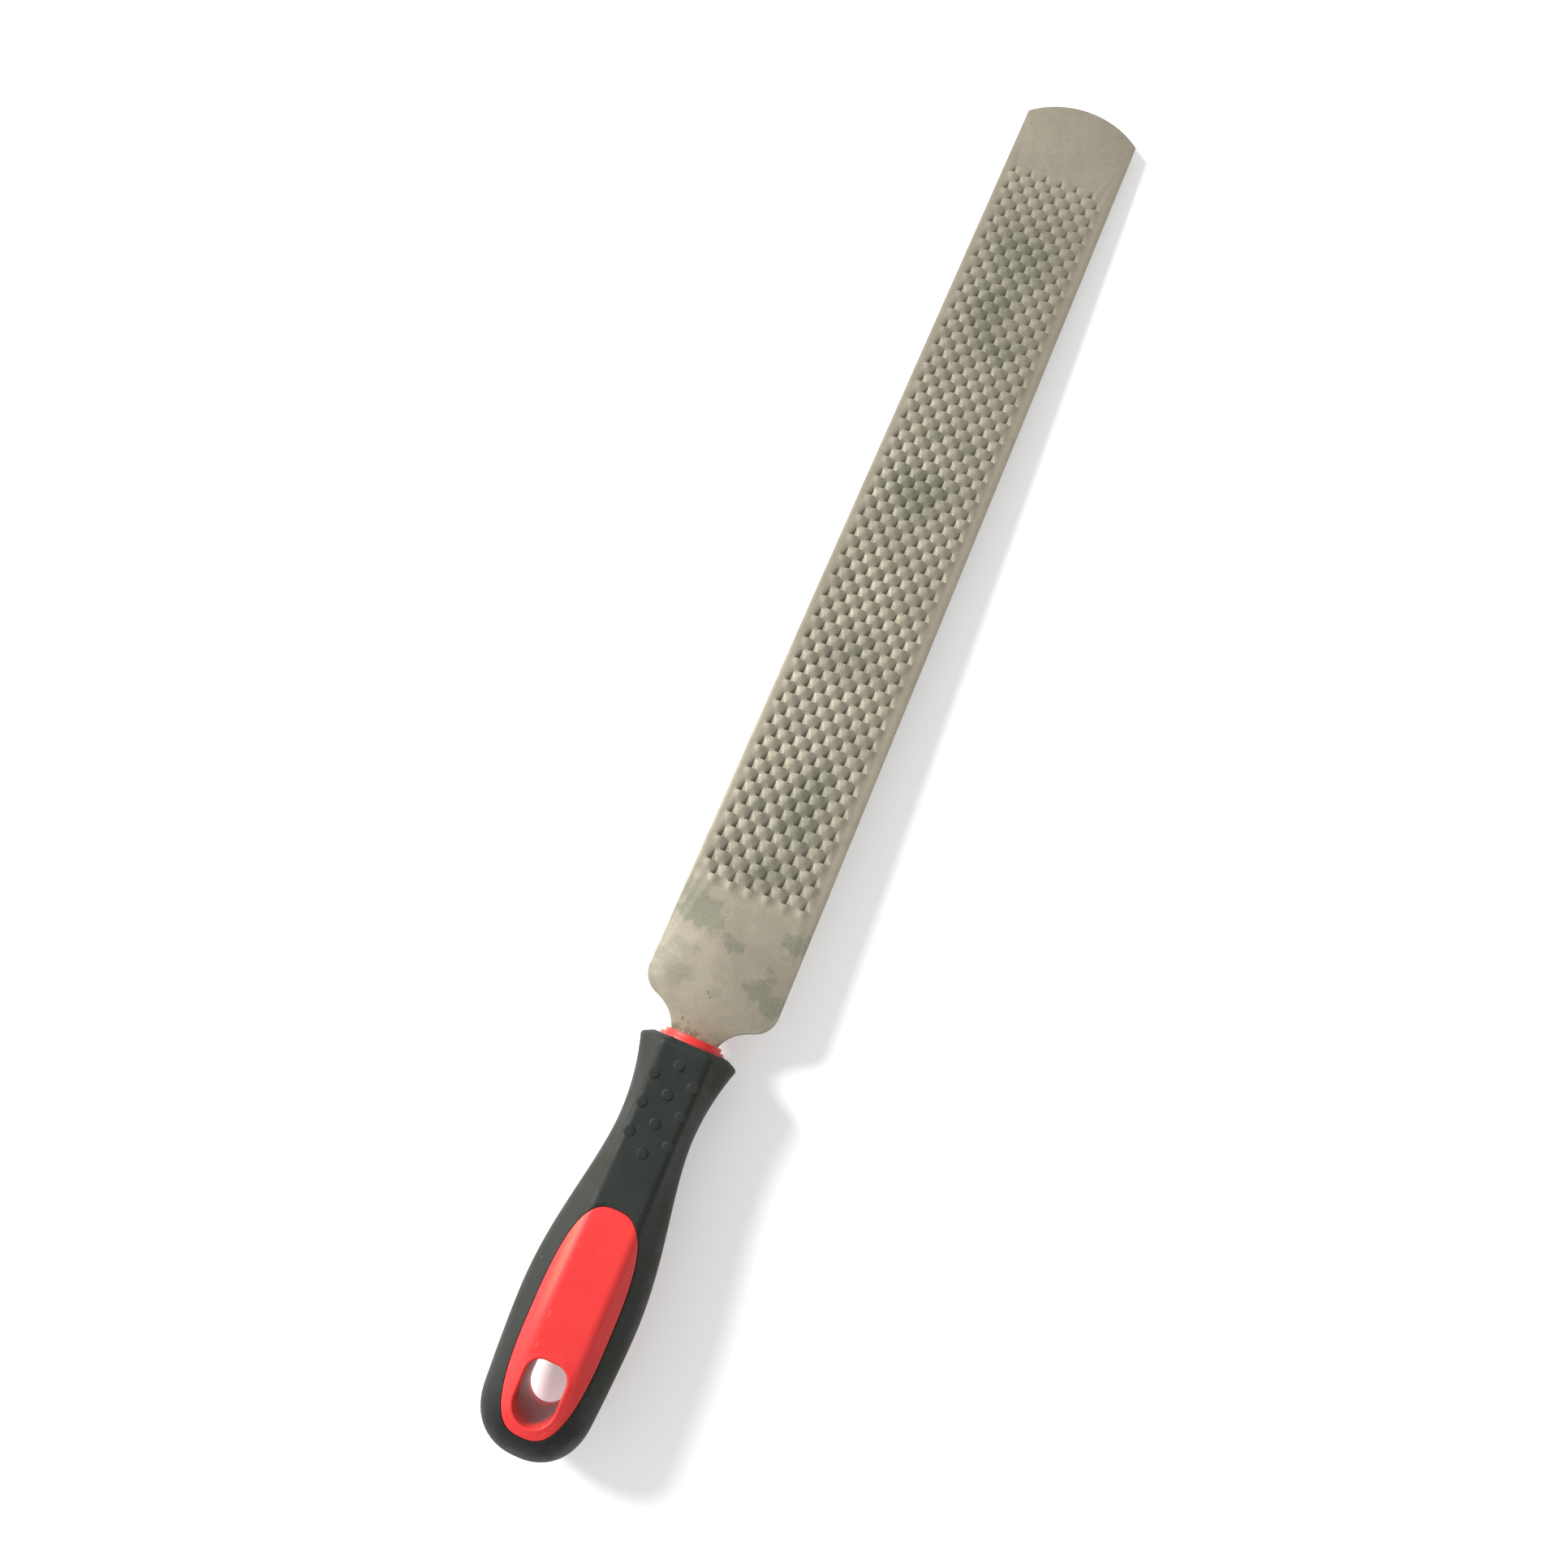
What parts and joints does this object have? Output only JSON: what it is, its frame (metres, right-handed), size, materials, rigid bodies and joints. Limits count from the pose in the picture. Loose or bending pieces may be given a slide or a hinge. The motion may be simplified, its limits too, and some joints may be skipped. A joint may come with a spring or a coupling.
{
  "type": "farrier rasp",
  "caption": "Flat steel farrier's rasp with punched teeth on one face, rounded shoulders and tip, and a moulded two-part handle with a hanging hole.",
  "frame": {"origin": "on the smooth back face of the blade, on its centre line, level with the back of the two rounded shoulders", "axes": "+X along the blade towards its tip, +Y across the blade, +Z out of the toothed face"},
  "size_m": [0.4828, 0.042, 0.028],
  "materials": {
    "rasp_steel": "dull satin, cloudy grey-green stains at the heel",
    "core_plastic": "satin moulded red",
    "grip_rubber": "soft matte, fine grain"
  },
  "bodies": {
    "root": {"rasp_blade": "rasp_steel", "handle_core": "core_plastic", "handle_grip": "grip_rubber"}
  },
  "joints": []
}
